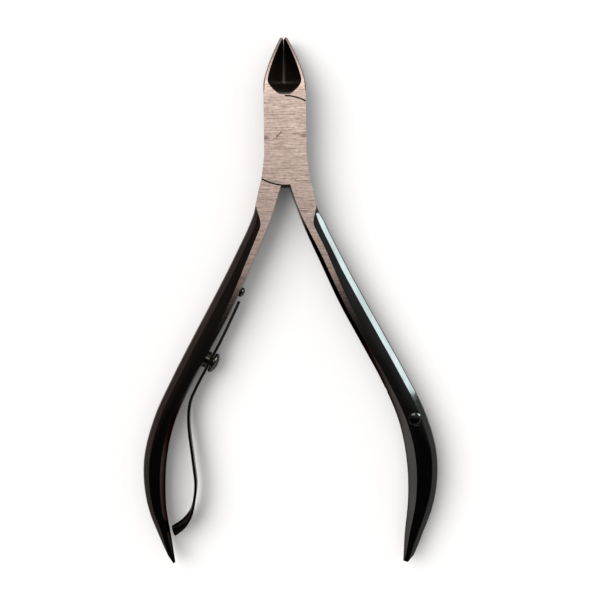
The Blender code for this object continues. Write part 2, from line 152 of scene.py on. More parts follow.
# Rivets, spring, pin and holes
PIVOT_RADIUS = 1.75
PIVOT_HEAD_RADIUS = 2.4
PIVOT_HEAD_DEPTH = 0.9
RUNNING_CLEARANCE = 0.05
END_CLEARANCE = 0.1
HAIRLINE = 0.003
CUT_OVERRUN = 1.0
SPRING_RIVET_Y = -43.6
SPRING_PATH = (
    (-13.4, 0.6),
    (-10.0, 0.8),
    (-5.0, 1.0),
    (0.0, 1.0),
    (6.0, 1.0),
    (9.6, 1.45),
    (13.5, 3.3),
    (19.0, 7.1),
    (23.5, 10.1),
    (27.9, 11.5),
    (31.0, 11.3),
    (33.5, 10.1),
)
SPRING_STEPS_PER_SPAN = 14
RIVET_SEAT_HEIGHT = 1.0
SPRING_THICKNESS = 0.55
SPRING_WIDTH = 3.2
SPRING_END_WIDTH = 4.2
SPRING_END_LENGTH = 9.0
SPRING_END_TWIST = math.radians(15.0)
SPRING_EDGE = 0.04
SPRING_CUP = 0.3
SPRING_FACE_STEPS = 8
SEAT_GAP = 0.06
RIVET_SHANK_RADIUS = 0.9
RIVET_HEAD_RADIUS = 2.05
RIVET_HEAD_HEIGHT = 1.3
RIVET_DEPTH = 2.2
COLLAR_RADIUS = 1.7
PIN_DISTANCE = 15.3
PIN_SHANK_RADIUS = 0.5
PIN_HEAD_RADIUS = 1.0
PIN_HEAD_HEIGHT = 0.9
PIN_DEPTH = 1.8
HANDLE_RIVET_XY = (25.2, -56.0)
HANDLE_RIVET_SEAT = 5.5
HANDLE_RIVET_HEAD_RADIUS = 1.4
HANDLE_RIVET_HEAD_HEIGHT = 1.4
HANDLE_RIVET_SIDE = 0.75
HANDLE_RIVET_SHANK_RADIUS = 0.8
HANDLE_RIVET_END = 2.1
WALL_HOLE_Y = -50.4
WALL_HOLE_RADIUS = 0.6
WALL_HOLE_DEPTH = 2.0
ROUND_SEGMENTS = 96
WELD_DISTANCE = 0.0001
DOME_STEPS = 14
DOME_RIM_SHARE = 0.3
DOME_EDGE_SHARE = 0.12

# Materials of a half's faces: flat-ground, polished, and the hollow of its jaw
GROUND = 0
POLISHED = 1
HOLLOW = 2
CREASE_ANGLE = math.radians(32.0)


def smoothstep(value):
    value = min(max(value, 0.0), 1.0)
    return value * value * (3.0 - 2.0 * value)


def curve_point(controls, t):
    """Point of the Catmull-Rom curve through the controls, t counting the controls from 0."""
    last = len(controls) - 1
    span = min(int(t), last - 1)
    f = t - span
    before = controls[max(span - 1, 0)]
    here = controls[span]
    there = controls[span + 1]
    after = controls[min(span + 2, last)]
    point = []
    for p0, p1, p2, p3 in zip(before, here, there, after):
        linear = (p2 - p0) * f
        square = (2.0 * p0 - 5.0 * p1 + 4.0 * p2 - p3) * f * f
        cube = (3.0 * p1 - p0 - 3.0 * p2 + p3) * f ** 3
        point.append(0.5 * (2.0 * p1 + linear + square + cube))
    return point


def curve_direction(controls, t):
    """Unit direction, in the first two coordinates, of the curve at t."""
    start = curve_point(controls, max(t - CURVE_STEP, 0.0))
    end = curve_point(controls, min(t + CURVE_STEP, len(controls) - 1.0))
    return Vector((end[0] - start[0], end[1] - start[1])).normalized()


def head_half_width(y):
    if y > JAW_START:
        along = (y - JAW_START) / (JAW_TIP - JAW_START)
        return HEAD_HALF_WIDTH - (HEAD_HALF_WIDTH - TIP_HALF_WIDTH) * along ** JAW_POWER
    if y < FLARE_START:
        return HEAD_HALF_WIDTH + FLARE * ((FLARE_START - y) / FLARE_LENGTH) ** FLARE_POWER
    return HEAD_HALF_WIDTH


def seam_offset(y):
    return SEAM_HALF_GAP + y * math.tan(SEAM_ANGLE)


def jaw_hollow(y, rim, front, edge):
    """Points across the hollow of the left jaw at height y, from the seam out to the rim."""
    seam = seam_offset(y)
    below = max((HOLLOW_WIDEST - y) / (HOLLOW_WIDEST - JAW_ROOT), 0.0)
    roundness = 1.0 - min(below, 1.0) ** HOLLOW_END_POWER
    full_reach = head_half_width(y) - rim - seam
    reach = HOLLOW_START_WIDTH + (full_reach - HOLLOW_START_WIDTH) * roundness
    depth = (front - edge - EDGE_THICKNESS) * roundness ** HOLLOW_RAMP
    points = []
    for i in range(HOLLOW_STEPS + 1):
        across = i / HOLLOW_STEPS
        drop = depth * (1.0 - across ** HOLLOW_FALL) ** HOLLOW_FLOOR
        points.append((-seam - reach * across, front - drop))
    return points


def jaw_ring(y, front_up):
    """Closed section of the left jaw at height y, and the material of each of its sides."""
    along = (y - JAW_ROOT) / (JAW_TIP - JAW_ROOT)
    width = head_half_width(y)
    front = THICKNESS - TIP_FRONT_DROP * along ** 2
    back = TIP_BACK_RISE * along ** 2
    opening = smoothstep((y - JAW_ROOT) / HOLLOW_OPENING)
    edge = back + EDGE_RISE * opening
    bevel = min(BACK_BEVEL_WIDTH, BACK_BEVEL_SHARE * width)
    rim = RIM_WIDTH + (TIP_RIM_WIDTH - RIM_WIDTH) * along
    chamfer = CHAMFER * opening
    ring = [(-width, back), (-bevel, back), (-seam_offset(y), edge)]
    ring.extend(jaw_hollow(y, rim, front, edge))
    ring.append((-width + chamfer, front))
    ring.append((-width, front - chamfer * CHAMFER_SLOPE))
    sides = [GROUND, POLISHED, POLISHED] + [HOLLOW] * HOLLOW_STEPS + [GROUND, POLISHED, POLISHED]
    if front_up:
        return [Vector((x, y, z)) for x, z in ring], sides
    return [Vector((x, y, THICKNESS - z)) for x, z in ring], sides


def wall_relief(y):
    """How far the back half's inner wall is set back from the wall line of the front half's."""
    return BACK_RELIEF * smoothstep((KEEL_START - y) / KEEL_LENGTH)


def outer_profile(width, half):
    """Crown, bevel and rounded side, from the ground strip down to mid-thickness."""
    bevel = min(BEVEL_WIDTH, BEVEL_SHARE * width)
    bulge = min(SIDE_BULGE, BEVEL_SHARE * width)
    crown = max(width - bevel - bulge, 0.0)
    points = []
    for i in range(CROWN_STEPS):
        along = i / CROWN_STEPS
        points.append((crown * along, half - CROWN_DROP * along * along))
    edge = half - CROWN_DROP
    low = edge - bevel * BEVEL_SLOPE
    for i in range(BEVEL_STEPS):
        along = i / BEVEL_STEPS
        points.append((crown + bevel * along, edge + (low - edge) * along))
    for i in range(SIDE_ROUND_STEPS + 1):
        turn = math.pi / 2.0 * i / SIDE_ROUND_STEPS
        points.append((crown + bevel + bulge * math.sin(turn), low * math.cos(turn)))
    return points


def flat_runout(y):
    """How far the full-width flat of the head has run out into the handle's narrow strip."""
    return smoothstep((FLAT_END - y) / FLAT_RUNOUT)


def flat_width(y, width):
    """Width of the flat-ground face at height y of a handle of the given width."""
    taper = smoothstep((FLAT_END - y) / STRIP_RUNOUT)
    strip = STRIP_WIDTH + (STRIP_END_WIDTH - STRIP_WIDTH) * taper
    return width + (strip - width) * flat_runout(y)


def handle_shape(y, width, front):
    """What a half adds to the handle's width at height y, and how far its inner wall is keeled."""
    lower = smoothstep((KEEL_START - y) / KEEL_LENGTH)
    if not front:
        relief = wall_relief(y) * min(width / RELIEF_FULL_WIDTH, 1.0)
        return -relief, BACK_KEEL_SHARE * width * lower
    extra = FRONT_EXTRA * flat_runout(y) + FRONT_END_EXTRA * lower
    extra *= min(width / FRONT_TIP_EXTRA_WIDTH, 1.0)
    upper = FRONT_UPPER_KEEL * smoothstep((UPPER_KEEL_START - y) / UPPER_KEEL_LENGTH)
    return extra, upper + (FRONT_KEEL_SHARE * width - upper) * lower


def inner_profile(width, half, keel):
    """The handle's inner wall from back to front, standing out most at mid-thickness."""
    rises = [2.0 * i / WALL_STEPS - 1.0 for i in range(WALL_STEPS + 1)]
    return [(keel * abs(rise) ** KEEL_POWER - width / 2.0, half * rise) for rise in rises]


def handle_ring(t, front):
    """Closed section of the right handle, and the material of each of its sides."""
    x, y, width, height = curve_point(HANDLE_LINE, t)
    along = curve_direction(HANDLE_LINE, t)
    outward = Vector((-along.y, along.x))
    flat = flat_width(y, width)
    change, keel = handle_shape(y, width, front)
    if front:
        y -= FRONT_TIP_REACH * smoothstep((FRONT_TIP_START - y) / FRONT_TIP_LENGTH)
    width += change
    x += outward.x * abs(change) / 2.0
    y += outward.y * abs(change) / 2.0
    half = min(height, THICKNESS) / 2.0
    middle = THICKNESS / 2.0
    start = keel - width / 2.0
    flat = min(flat, width - keel)
    ring = inner_profile(width, half, keel)
    upper = outer_profile(width - keel - flat, half)
    lower = [(across, -up) for across, up in reversed(upper[:-1])]
    ring.extend((start + flat + across, up) for across, up in upper + lower)
    round_sides = len(upper) + len(lower) - 1
    sides = [POLISHED] * WALL_STEPS + [GROUND] + [POLISHED] * round_sides + [GROUND]
    return [Vector((x + outward.x * u, y + outward.y * u, middle + z)) for u, z in ring], sides


def arc(radius, start, end):
    """Points of an arc about the pivot from one angle to another, in radians."""
    count = max(2, round(abs(end - start) / (2.0 * math.pi) * ARC_STEPS))
    angles = [start + (end - start) * i / count for i in range(count + 1)]
    return [Vector((radius * math.cos(a), radius * math.sin(a))) for a in angles]


def outline_corner(radius, sign):
    """Angle at which a circle about the pivot meets the head's right side."""
    y = sign * radius
    for _ in range(SEARCH_STEPS):
        width = head_half_width(y)
        y = sign * math.sqrt(radius * radius - width * width)
    return math.atan2(y, head_half_width(y))


def side_points(start, end):
    """Points down the head's right side."""
    heights = [start + (end - start) * i / SIDE_STEPS for i in range(SIDE_STEPS + 1)]
    return [Vector((head_half_width(y), y)) for y in heights]


def add_face(bm, verts, material):
    face = bm.faces.new(verts)
    face.material_index = material
    return face


def fill_walls(bm, upper, lower):
    for i in range(len(upper) - 1):
        add_face(bm, (upper[i], upper[i + 1], lower[i + 1], lower[i]), POLISHED)


def loft(bm, rings):
    """Skin a list of (points, side materials) and return the first ring's vertices."""
    made = [[bm.verts.new(p) for p in points] for points, _ in rings]
    for i in range(len(made) - 1):
        sides = rings[i][1]
        for j in range(len(made[i])):
            k = (j + 1) % len(made[i])
            add_face(bm, (made[i][j], made[i][k], made[i + 1][k], made[i + 1][j]), sides[j])
    add_face(bm, made[-1], POLISHED)
    return made[0]


def jaw_heights():
    """Heights of the jaw's sections, closer together at the hollow's round lower end."""
    spread = [1.0 - math.cos(math.pi / 2.0 * i / JAW_STATIONS) for i in range(JAW_STATIONS + 1)]
    return [JAW_ROOT + (JAW_TIP - JAW_ROOT) * s for s in spread]


def plate_left_edge():
    """Outline from the jaw down the head's left side and round the lower lap to the crotch."""
    low = outline_corner(LOWER_LAP_RADIUS, -1.0)
    low_y = LOWER_LAP_RADIUS * math.sin(low)
    left = [Vector((-p.x, p.y)) for p in side_points(JAW_ROOT, low_y)][1:]
    lower_arc = arc(LOWER_LAP_RADIUS, -math.pi - low, CROTCH_TURN - math.pi / 2.0)[1:]
    return left + lower_arc + [Vector(CROTCH)]


def plate_right_edge():
    """Outline from the handle up the head's right side and round the upper lap to the seam."""
    high = outline_corner(UPPER_LAP_RADIUS, 1.0)
    high_y = UPPER_LAP_RADIUS * math.sin(high)
    right = list(reversed(side_points(high_y, RIGHT_SIDE_END)))
    seam_angle = math.pi / 2.0 + seam_offset(UPPER_LAP_RADIUS) / UPPER_LAP_RADIUS
    return right + arc(UPPER_LAP_RADIUS, high, seam_angle)[1:]


def half_mesh(front):
    """Left jaw, lap plate and right handle as one closed body of full thickness.

    The back half is drawn face down, so its jaw's hollow opens to the other side.
    """
    bm = bmesh.new()
    jaw = loft(bm, [jaw_ring(y, front) for y in jaw_heights()])
    last = (len(HANDLE_LINE) - 1) * STATIONS_PER_SPAN
    handle = loft(bm, [handle_ring(i / STATIONS_PER_SPAN, front) for i in range(last + 1)])
    inner = plate_left_edge()
    outer = plate_right_edge()
    inner_top = [bm.verts.new((p.x, p.y, THICKNESS)) for p in inner]
    inner_low = [bm.verts.new((p.x, p.y, 0.0)) for p in inner]
    outer_top = [bm.verts.new((p.x, p.y, THICKNESS)) for p in outer]
    outer_low = [bm.verts.new((p.x, p.y, 0.0)) for p in outer]
    jaw_back = list(reversed(jaw[:3]))
    jaw_top, jaw_low = (jaw[3:], jaw_back) if front else (jaw_back, jaw[3:])
    wall = handle[:WALL_STEPS + 1]
    round_side = handle[WALL_STEPS + 1:]
    add_face(bm, (jaw_top[-1], inner_top[0], inner_low[0], jaw_low[-1]), POLISHED)
    fill_walls(bm, inner_top, inner_low)
    add_face(bm, [inner_low[-1]] + wall + [inner_top[-1]], POLISHED)
    fill_walls(bm, outer_top + [jaw_top[0]], outer_low + [jaw_low[0]])
    add_face(bm, round_side + [outer_low[0], outer_top[0]], POLISHED)
    add_face(bm, jaw_top + inner_top + [wall[-1], round_side[0]] + outer_top, GROUND)
    add_face(bm, jaw_low + inner_low + [wall[0], round_side[-1]] + outer_low, GROUND)
    bmesh.ops.recalc_face_normals(bm, faces=bm.faces)
    return finish_mesh(bm, "half")


def finish_mesh(bm, name):
    """Turn a bmesh drawn in millimetres into a mesh in metres."""
    bmesh.ops.scale(bm, vec=(MM, MM, MM), verts=bm.verts)
    mesh = bpy.data.meshes.new(name)
    bm.to_mesh(mesh)
    bm.free()
    return mesh


def crease(mesh):
    """Smooth shading, sharp at corners and where the material changes."""
    bm = bmesh.new()
    bm.from_mesh(mesh)
    for face in bm.faces:
        face.smooth = True
    for edge in bm.edges:
        faces = edge.link_faces
        if len(faces) == 2:
            differs = faces[0].material_index != faces[1].material_index
            edge.smooth = not (differs or edge.calc_face_angle(0.0) > CREASE_ANGLE)
    bm.to_mesh(mesh)
    bm.free()


def add_piece(name, mesh, *materials):
    piece = bpy.data.objects.new(name, mesh)
    bpy.context.scene.collection.objects.link(piece)
    for i, material in enumerate(materials):
        if i < len(mesh.materials):
            mesh.materials[i] = material
        else:
            mesh.materials.append(material)
    return piece


def turned_mesh(name, profile):
    """Turn a profile of (radius, height) points about the Z axis."""
    bm = bmesh.new()
    verts = [bm.verts.new((r, 0.0, z)) for r, z in profile]
    edges = [bm.edges.new(pair) for pair in zip(verts, verts[1:])]
    bmesh.ops.spin(bm, geom=verts + edges, axis=(0.0, 0.0, 1.0), cent=(0.0, 0.0, 0.0),
                   angle=2.0 * math.pi, steps=ROUND_SEGMENTS)
    bmesh.ops.remove_doubles(bm, verts=bm.verts, dist=WELD_DISTANCE)
    bmesh.ops.recalc_face_normals(bm, faces=bm.faces)
    return finish_mesh(bm, name)


def dome(radius, base, height):
    """Profile of a low domed head with a small rounded rim."""
    edge = DOME_EDGE_SHARE * radius
    inset = DOME_RIM_SHARE * edge
    side = DOME_RIM_SHARE * height
    points = [(radius - edge, base), (radius - inset, base + inset), (radius, base + edge)]
    for i in range(DOME_STEPS + 1):
        turn = math.pi / 2.0 * i / DOME_STEPS
        points.append((radius * math.cos(turn), base + side + (height - side) * math.sin(turn)))
    points[-1] = (0.0, base + height)
    return points


def rivet_profile(shank, bottom, seat, head_radius, head_height):
    return [(0.0, bottom), (shank, bottom), (shank, seat)] + dome(head_radius, seat, head_height)


def cylinder_profile(radius, bottom, top):
    return [(0.0, bottom), (radius, bottom), (radius, top), (0.0, top)]


def cut(piece, mesh, matrix):
    """Cut a closed mesh out of a piece and keep the result as the piece's own mesh."""
    cutter = add_piece("cutter", mesh)
    cutter.matrix_world = matrix
    modifier = piece.modifiers.new("cut", "BOOLEAN")
    modifier.operation = "DIFFERENCE"
    modifier.solver = "EXACT"
    modifier.object = cutter
    bpy.context.view_layer.update()
    graph = bpy.context.evaluated_depsgraph_get()
    result = bpy.data.meshes.new_from_object(piece.evaluated_get(graph))
    piece.modifiers.clear()
    piece.data = result
    bpy.data.objects.remove(cutter)


def turned_over():
    """Matrix that turns a piece of the front half into the back half's place."""
    return Matrix.Translation((0.0, 0.0, THICKNESS * MM)) @ Matrix.Rotation(math.pi, 4, "Y")


def wall_point(t):
    x, y, width, _ = curve_point(HANDLE_LINE, t)
    down = curve_direction(HANDLE_LINE, t)
    return Vector((x + down.y * width / 2.0, y - down.x * width / 2.0))


def wall_frame(y, side):
    """Matrix on a handle's inner wall: Z out of the wall, X down the handle."""
    low = 0.0
    high = len(HANDLE_LINE) - 1.0
    for _ in range(SEARCH_STEPS):
        t = (low + high) / 2.0
        if wall_point(t).y > y:
            low = t
        else:
            high = t
    point = wall_point(t)
    down = curve_direction(HANDLE_LINE, t)
    x_axis = Vector((side * down.x, down.y, 0.0))
    z_axis = Vector((side * down.y, -down.x, 0.0))
    y_axis = z_axis.cross(x_axis)
    matrix = Matrix((x_axis, y_axis, z_axis)).transposed().to_4x4()
    matrix.translation = Vector((side * point.x, point.y, THICKNESS / 2.0)) * MM
    return matrix


def lap_room_mesh():
    """Room for the other half's lap plate, under this half's own plate."""
    bm = bmesh.new()
    ring = []
    for i in range(ARC_STEPS):
        turn = 2.0 * math.pi * i / ARC_STEPS
        radius = UPPER_LAP_RADIUS if i < ARC_STEPS // 2 else LOWER_LAP_RADIUS
        radius += SHOULDER_GAP
        ring.append(bm.verts.new((radius * math.cos(turn), radius * math.sin(turn), -CUT_OVERRUN)))
    face = add_face(bm, ring, POLISHED)
    made = bmesh.ops.extrude_face_region(bm, geom=[face])["geom"]
    rise = CUT_OVERRUN + THICKNESS / 2.0 + LAP_GAP / 2.0
    moved = [v for v in made if isinstance(v, bmesh.types.BMVert)]
    bmesh.ops.translate(bm, vec=(0.0, 0.0, rise), verts=moved)
    bmesh.ops.recalc_face_normals(bm, faces=bm.faces)
    return polished_faces(finish_mesh(bm, "lap_room"))


def polished_faces(mesh):
    for face in mesh.polygons:
        face.material_index = POLISHED
    return mesh


def pivot_profile(extra, overrun):
    """Shank with a flared, flush end at each face, grown by extra and run past the faces."""
    shank = PIVOT_RADIUS + extra
    head = PIVOT_HEAD_RADIUS + extra
    points = [(head, 0.0), (shank, PIVOT_HEAD_DEPTH), (shank, THICKNESS - PIVOT_HEAD_DEPTH),
              (head, THICKNESS)]
    if overrun:
        points = [(head, -overrun)] + points + [(head, THICKNESS + overrun)]
    return [(0.0, -overrun)] + points + [(0.0, THICKNESS + overrun)]


def strip_outline(half_width):
    """Flat section of the leaf spring, with chamfered edges, as (across, lift) points."""
    half = SPRING_THICKNESS / 2.0
    face = half_width - SPRING_EDGE
    shares = [2.0 * i / SPRING_FACE_STEPS - 1.0 for i in range(SPRING_FACE_STEPS + 1)]
    outline = [(share * face, -half) for share in shares]
    outline.append((half_width, SPRING_EDGE - half))
    outline.append((half_width, half - SPRING_EDGE))
    outline.extend((share * face, half) for share in reversed(shares))
    outline.append((-half_width, half - SPRING_EDGE))
    outline.append((-half_width, SPRING_EDGE - half))
    return outline


def spring_ring(t):
    """Section of the leaf spring, wider, cupped and twisted towards its free end."""
    distance, height = curve_point(SPRING_PATH, t)
    along = curve_direction(SPRING_PATH, t)
    end = SPRING_PATH[-1][0]
    widening = smoothstep((distance - end + SPRING_END_LENGTH) / SPRING_END_LENGTH)
    half_width = (SPRING_WIDTH + (SPRING_END_WIDTH - SPRING_WIDTH) * widening) / 2.0
    normal = Vector((-along.y, along.x))
    cup = SPRING_CUP * widening
    twist = SPRING_END_TWIST * widening
    points = []
    for across, lift in strip_outline(half_width):
        rise = lift + cup * (across / half_width) ** 2
        rise, across = (rise * math.cos(twist) - across * math.sin(twist),
                        across * math.cos(twist) + rise * math.sin(twist))
        points.append(Vector((distance + normal.x * rise, across, height + normal.y * rise)))
    return points, [0] * len(points)


def spring_mesh():
    bm = bmesh.new()
    last = (len(SPRING_PATH) - 1) * SPRING_STEPS_PER_SPAN
    first = loft(bm, [spring_ring(i / SPRING_STEPS_PER_SPAN) for i in range(last + 1)])
    bm.faces.new(first)
    for face in bm.faces:
        face.material_index = 0
    bmesh.ops.recalc_face_normals(bm, faces=bm.faces)
    return finish_mesh(bm, "leaf_spring")


class Nodes:
    """Short calls that add and link the nodes of one material, or of the world."""

    def __init__(self, owner):
        owner.use_nodes = True
        self.owner = owner
        self.tree = owner.node_tree
        self.shader = self.tree.nodes.get("Principled BSDF") or self.tree.nodes["Background"]

    def new(self, kind, **settings):
        node = self.tree.nodes.new("ShaderNode" + kind)
        for key, value in settings.items():
            setattr(node, key, value)
        return node

    def link(self, source, target):
        self.tree.links.new(source, target)

    def coordinates(self):
        return self.new("TexCoord").outputs["Object"]

    def noise(self, vector, scale, turn, shift, detail, roughness):
        """Noise with its own scale along each axis, turned about Z and shifted."""
        mapping = self.new("Mapping")
        self.link(vector, mapping.inputs["Vector"])
        mapping.inputs["Scale"].default_value = scale
        mapping.inputs["Rotation"].default_value = (0.0, 0.0, turn)
        mapping.inputs["Location"].default_value = shift
        node = self.new("TexNoise")
        self.link(mapping.outputs["Vector"], node.inputs["Vector"])
        node.inputs["Scale"].default_value = 1.0
        node.inputs["Detail"].default_value = detail
        node.inputs["Roughness"].default_value = roughness
        return node.outputs["Fac"]

    def bevel(self, radius):
        """Normal rounded over an edge, within a radius in millimetres."""
        node = self.new("Bevel", samples=BEVEL_SAMPLES)
        node.inputs["Radius"].default_value = radius * MM
        return node.outputs["Normal"]

    def ramp(self, source, *stops):
        node = self.new("ValToRGB")
        self.link(source, node.inputs["Fac"])
        elements = node.color_ramp.elements
        while len(elements) < len(stops):
            elements.new(0.5)
        for element, (position, color) in zip(elements, stops):
            element.position = position
            element.color = (*color, 1.0)
        return node.outputs["Color"]

    def mix(self, factor, first, second):
        """First colour, turning into the second as the factor goes from 0 to 1."""
        node = self.new("Mix", data_type="RGBA")
        self.put(factor, node.inputs["Factor"])
        self.put(first, node.inputs[6])
        self.put(second, node.inputs[7])
        return node.outputs[2]

    def math(self, operation, first, second=0.0):
        node = self.new("Math", operation=operation)
        self.put(first, node.inputs[0])
        self.put(second, node.inputs[1])
        return node.outputs[0]

    def put(self, value, target):
        if isinstance(value, bpy.types.NodeSocket):
            self.link(value, target)
        elif isinstance(value, tuple) and len(value) == 3:
            target.default_value = (*value, 1.0)
        else:
            target.default_value = value

    def range(self, source, low, high, to_low=0.0, to_high=1.0):
        node = self.new("MapRange", interpolation_type="SMOOTHSTEP")
        self.put(source, node.inputs["Value"])
        node.inputs["From Min"].default_value = low
        node.inputs["From Max"].default_value = high
        node.inputs["To Min"].default_value = to_low
        node.inputs["To Max"].default_value = to_high
        return node.outputs["Result"]

    def axis(self, vector, name):
        node = self.new("SeparateXYZ")
        self.link(vector, node.inputs["Vector"])
        return node.outputs[name]

    def stroke(self, x, y, start, end, width):
        """1 on a thin straight stroke from start to end, given in millimetres, else 0."""
        first = Vector(start) * MM
        along = (Vector(end) - Vector(start)) * MM
        length = along.length
        along = along / length
        x = self.math("SUBTRACT", x, first.x)
        y = self.math("SUBTRACT", y, first.y)
        run = self.math("ADD", self.math("MULTIPLY", x, along.x), self.math("MULTIPLY", y, along.y))
        across = self.math("MULTIPLY", y, along.x)
        off = self.math("ADD", self.math("MULTIPLY", x, -along.y), across)
        inside = self.math("MULTIPLY", self.math("GREATER_THAN", run, 0.0),
                           self.math("LESS_THAN", run, length))
        near = self.range(self.math("ABSOLUTE", off), width * MM, STROKE_CORE * width * MM)
        return self.math("MULTIPLY", inside, near)

    def dent_shade(self, x, y, middle):
        """The painted shade of an oval dent, given in millimetres: full at its middle and 0 outside
        it.
        """
        dx = self.math("DIVIDE", self.math("SUBTRACT", x, middle[0] * MM), DENT_SIZE[0] * MM)
        dy = self.math("DIVIDE", self.math("SUBTRACT", y, middle[1] * MM), DENT_SIZE[1] * MM)
        reach = self.math("ADD", self.math("MULTIPLY", dx, dx), self.math("MULTIPLY", dy, dy))
        return self.range(reach, 1.0, DENT_CORE, 0.0, DENT_SHADE_DEPTH)

    def head_marks_and_dent_shade(self, place):
        """A short slanting scratch with two barbs, and the painted shade of a dent at each edge of
        the head.
        """
        x = self.axis(place, "X")
        y = self.axis(place, "Y")
        total = self.stroke(x, y, *SCRATCH, SCRATCH_WIDTH)
        for barb in BARBS:
            mark = self.stroke(x, y, *barb, BARB_WIDTH)
            total = self.math("ADD", total, self.math("MULTIPLY", mark, BARB_DEPTH))
        # Add the painted shade of the dents
        for middle in SHADED_DENTS:
            total = self.math("ADD", total, self.dent_shade(x, y, middle))
        return self.math("MINIMUM", total, 1.0)

    def set(self, name, value):
        self.put(value, self.shader.inputs[name])

    def bump(self, height, strength, relief, rounded=0.0):
        """Surface relief, with edges rounded by a radius. Both are in millimetres."""
        node = self.new("Bump")
        self.link(height, node.inputs["Height"])
        node.inputs["Strength"].default_value = strength
        node.inputs["Distance"].default_value = relief * MM
        if rounded:
            self.link(self.bevel(rounded), node.inputs["Normal"])
        self.link(node.outputs["Normal"], self.shader.inputs["Normal"])


# Noise patterns: scale along each axis, turn, shift, detail and roughness
FINE_LINES = ((420.0, 6800.0, 900.0), 0.02, (0.0, 0.0, 0.0), 4.0, 0.7)
BROAD_LINES = ((260.0, 3300.0, 300.0), -0.015, (3.0, 1.0, 2.0), 3.0, 0.6)
BLOTCHES = ((1400.0, 2400.0, 900.0), 0.3, (1.0, 4.0, 0.0), 3.0, 0.65)
STREAKS = ((230.0, 4200.0, 400.0), 0.03, (7.0, 5.0, 0.0), 2.0, 0.5)
CLOUDS = ((260.0, 90.0, 260.0), 0.0, (0.0, 0.0, 0.0), 4.0, 0.6)
WIPE_MARKS = ((1500.0, 350.0, 1500.0), 0.4, (0.0, 0.0, 0.0), 5.0, 0.6)

# How the flat-ground steel's patterns add up, and how rough it is
FINE_SHARE = 0.38
BROAD_SHARE = 0.34
BLOTCH_SHARE = 0.28
STREAK_START = 0.60
STREAK_FULL = 0.69
STREAK_DEPTH = 0.6
GROUND_ROUGHNESS = 0.30
LINE_ROUGHNESS = 0.25
HANDLE_ROUGHNESS = 0.35
LINE_BUMP = 0.45
LINE_RELIEF = 0.04

# Flat-ground steel, from its darkest lines to its brightest, and where it darkens
GROUND_TONES = (
    (0.34, (0.24, 0.175, 0.15)),
    (0.46, (0.50, 0.38, 0.33)),
    (0.54, (0.64, 0.495, 0.435)),
    (0.67, (0.96, 0.80, 0.71)),
)
STREAK_TONE = (0.17, 0.13, 0.115)
# Colour of the scratch marks and of the painted shade in the dents
MARK_AND_DENT_SHADE_TONE = (0.05, 0.04, 0.035)
HANDLE_TONE = (0.052, 0.047, 0.045)
HANDLE_FADE_START = -21.0
HANDLE_FADE_END = -40.0
RIM_TONE = (0.30, 0.24, 0.215)
RIM_FADE = 0.45
RIM_FADE_START = 10.5
RIM_FADE_END = 14.5

# Marks on the head, and the places and strength of two dents' painted shade
SCRATCH = ((-1.85, 0.25), (-0.65, 1.6))
SCRATCH_WIDTH = 0.10
BARBS = (((-1.85, 0.85), (-1.5, 0.7)), ((-1.0, 1.2), (-0.5, 1.25)))
BARB_WIDTH = 0.08
BARB_DEPTH = 0.7
STROKE_CORE = 0.4
# Dents: only their painted shade is drawn, darkening the head's ground face
SHADED_DENTS = ((-4.1, 0.3), (4.0, 0.7))
DENT_SIZE = (1.3, 0.55)
DENT_SHADE_DEPTH = 0.5
DENT_CORE = 0.1

# Polished steel: base colours, with cool and warm copies as a painted reflection tint, worn edges
# with a painted edge highlight, and how much an upright or a level face reflects, the dimmer
# upright faces being painted shade
# Cool and warm copies of the same polished steel: their tints are a painted reflection tint
COOL_REFLECTION_TINT_STEEL = (0.047, 0.048, 0.047)
COOL_EDGE_WEAR_AND_SHEEN = (0.16, 0.15, 0.145)
WARM_REFLECTION_TINT_STEEL = (0.050, 0.042, 0.038)
WARM_EDGE_WEAR_AND_SHEEN = (0.16, 0.135, 0.125)
SPRING_STEEL = (0.060, 0.052, 0.050)
SPRING_EDGE_WEAR_AND_SHEEN = (0.20, 0.175, 0.16)
HOLLOW_STEEL = (0.10, 0.088, 0.074)
HOLLOW_EDGE_WEAR_AND_SHEEN = (0.16, 0.15, 0.14)
HOLLOW_HAZE = 0.22
CLOUD_GAIN = 1.3
CLOUD_START = 0.35
CLOUD_FULL = 0.7
BEVEL_SAMPLES = 6
# Edge colours above and the edge mask below: edges are lightened partly by wear and partly as a
# painted edge highlight
WEAR_AND_SHEEN_RADIUS = 0.09
WEAR_AND_SHEEN_START = 0.995
WEAR_AND_SHEEN_FULL = 0.93
WEAR_AND_SHEEN_MARKS = (0.35, 0.65)
WEAR_AND_SHEEN_RANGE = (0.25, 0.8)
EDGE_RADIUS = 0.06
MARK_BUMP = 0.04
MARK_RELIEF = 0.02
ROUGH_MARKS = (0.3, 0.75)
SMOOTHEST = 0.055
HAZIEST = 0.13
# Specular tint of upright faces: painted shade that dims their reflection
UPRIGHT_PAINTED_SHADE_TINT = (0.08, 0.069, 0.063)
LEVEL_TINT = (1.0, 0.93, 0.90)
LEVEL_FROM = 0.68


